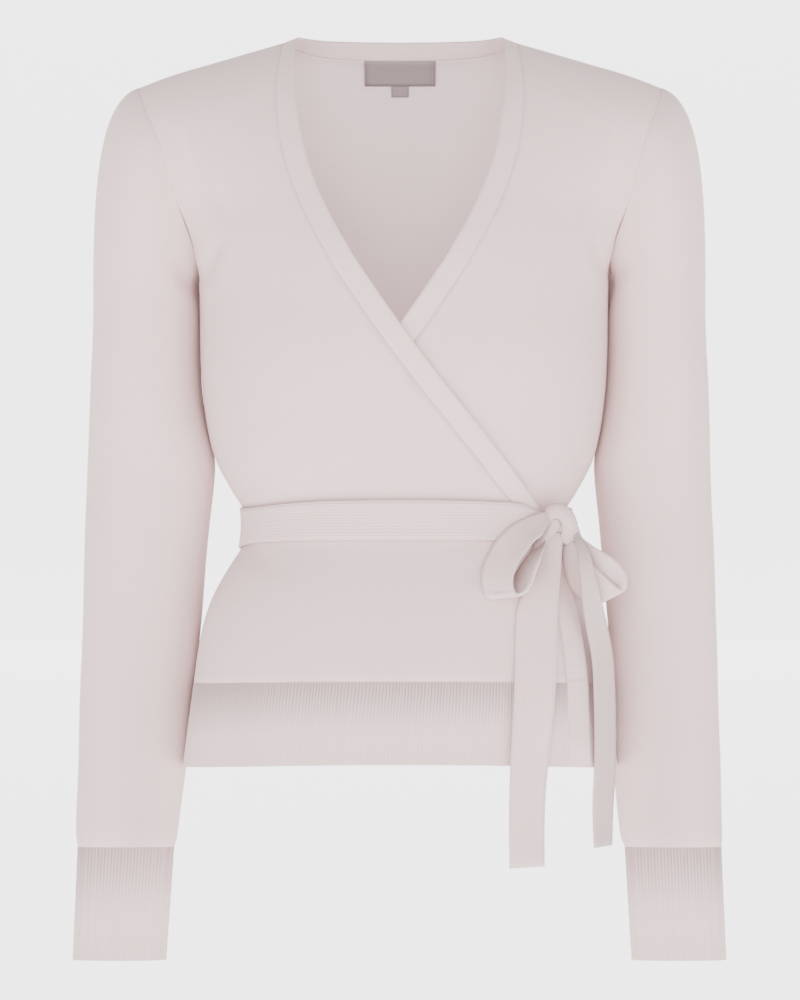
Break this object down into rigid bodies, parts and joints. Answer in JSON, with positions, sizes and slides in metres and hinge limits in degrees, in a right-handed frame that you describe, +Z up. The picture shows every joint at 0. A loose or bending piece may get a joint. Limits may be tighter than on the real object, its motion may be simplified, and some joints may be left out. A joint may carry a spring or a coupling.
{
  "type": "wrap cardigan",
  "caption": "Hollow worn wrap cardigan in fine knit, V neck, long sleeves with deep ribbed cuffs, ribbed hem, and a tie belt in a side bow.",
  "frame": {"origin": "the centre of the wearer's body at the height of the neck's shoulder points, the mount wearer", "axes": "+Z up, along the wearer's spine; the front faces -Y; the wearer's left side is at +X"},
  "size_m": [0.5046, 0.2353, 0.7112],
  "materials": {
    "back_panel": "fine smooth matt knit",
    "front_right": "fine smooth matt knit",
    "front_left": "fine smooth matt knit",
    "hem_back": "matt knit, raised ribs",
    "hem_right": "matt knit, raised ribs",
    "hem_left": "matt knit, raised ribs",
    "band_right": "matt knit band",
    "band_left": "matt knit band",
    "band_back": "matt knit band",
    "sleeve_right": "fine smooth matt knit",
    "cuff_right": "matt knit, raised ribs",
    "sleeve_left": "fine smooth matt knit",
    "cuff_left": "matt knit, raised ribs",
    "belt_waist": "matt knit strap",
    "knot": "matt knit strap",
    "knot_wrap": "matt knit strap",
    "loop_left": "matt knit strap",
    "loop_right": "matt knit strap",
    "tail_left": "matt knit strap",
    "tail_right": "matt knit strap",
    "neck_label": "matt woven",
    "size_tab": "matt woven"
  },
  "bodies": {
    "root": {"back_panel": "back_panel", "front_right": "front_right", "front_left": "front_left", "hem_back": "hem_back", "hem_right": "hem_right", "hem_left": "hem_left", "band_right": "band_right", "band_left": "band_left", "band_back": "band_back", "sleeve_right": "sleeve_right", "cuff_right": "cuff_right", "sleeve_left": "sleeve_left", "cuff_left": "cuff_left", "belt_waist": "belt_waist", "knot": "knot", "knot_wrap": "knot_wrap", "loop_left": "loop_left", "loop_right": "loop_right", "tail_left": "tail_left", "tail_right": "tail_right", "neck_label": "neck_label", "size_tab": "size_tab"}
  },
  "joints": []
}
